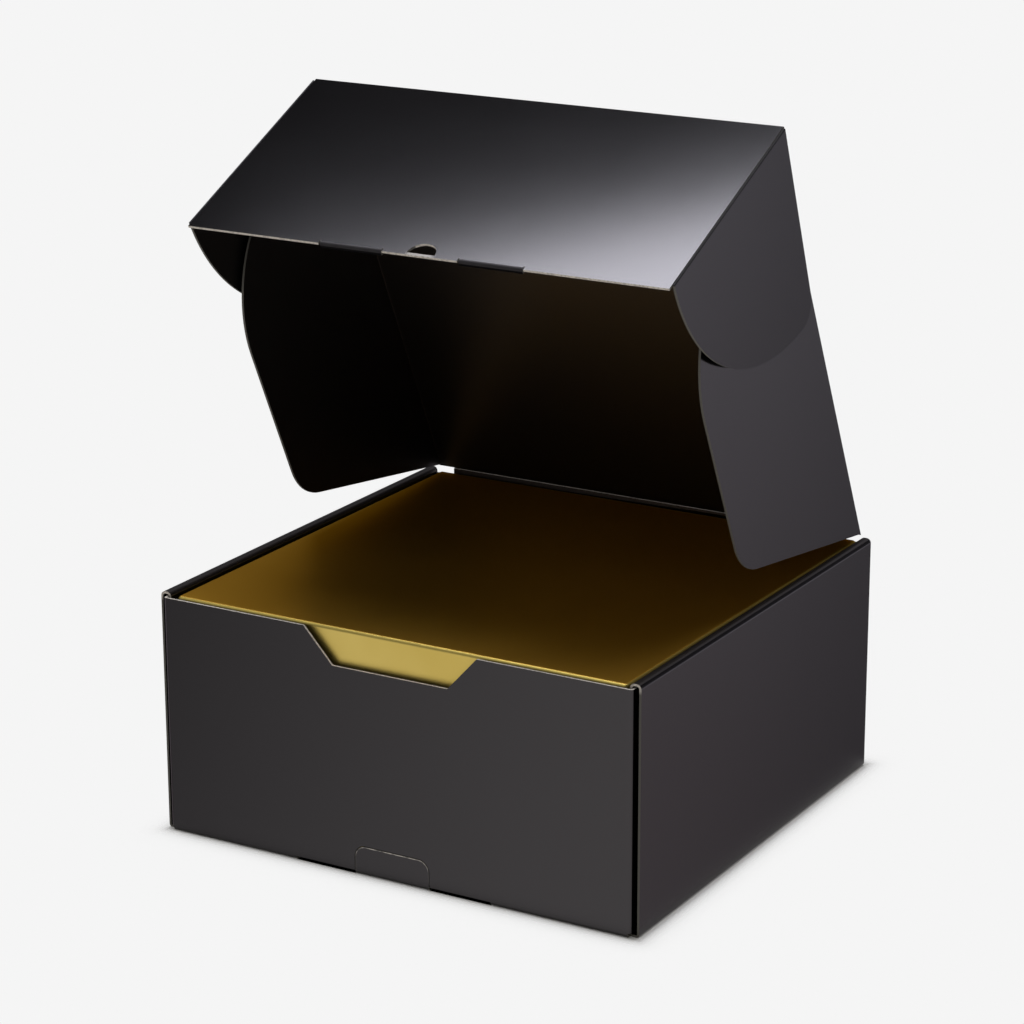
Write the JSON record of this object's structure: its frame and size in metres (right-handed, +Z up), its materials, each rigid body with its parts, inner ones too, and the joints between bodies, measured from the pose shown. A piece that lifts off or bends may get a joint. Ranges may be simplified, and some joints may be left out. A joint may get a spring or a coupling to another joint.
{
  "type": "shoebox",
  "caption": "Black lock-front shoebox of folded board with rolled side walls, its lid part open on the back crease, and a closed gold carton resting in the tray.",
  "frame": {"origin": "middle of the tray's underside, on the table", "axes": "+X to the right seen from the front, front wall towards -Y, +Z up"},
  "size_m": [0.349, 0.332, 0.4651],
  "materials": {
    "black_board": "satin black print",
    "gold_foil": "gold metallic foil"
  },
  "bodies": {
    "base": {"base_tray": "black_board", "inner_carton": "gold_foil"},
    "lid": {"lid": "black_board"},
    "front_flap": {"front_flap": "black_board"},
    "left_ear": {"left_ear": "black_board"},
    "right_ear": {"right_ear": "black_board"}
  },
  "joints": [
    {"name": "lid_hinge", "type": "hinge", "parent": "base", "child": "lid", "pos_m": [0, 0.16525, 0.16395], "axis": [-1, 0, 0], "range_deg": [-36, 115.5]},
    {"name": "front_flap_hinge", "type": "hinge", "parent": "lid", "child": "front_flap", "pos_m": [0, 0.02198, 0.46433], "axis": [-1, 0, 0], "range_deg": [0, 90]},
    {"name": "left_ear_hinge", "type": "hinge", "parent": "front_flap", "child": "left_ear", "pos_m": [-0.17165, 0.02198, 0.46433], "axis": [0, 0.9026, 0.4305], "range_deg": [0, 90]},
    {"name": "right_ear_hinge", "type": "hinge", "parent": "front_flap", "child": "right_ear", "pos_m": [0.17165, 0.02198, 0.46433], "axis": [0, -0.9026, -0.4305], "range_deg": [0, 90]}
  ]
}
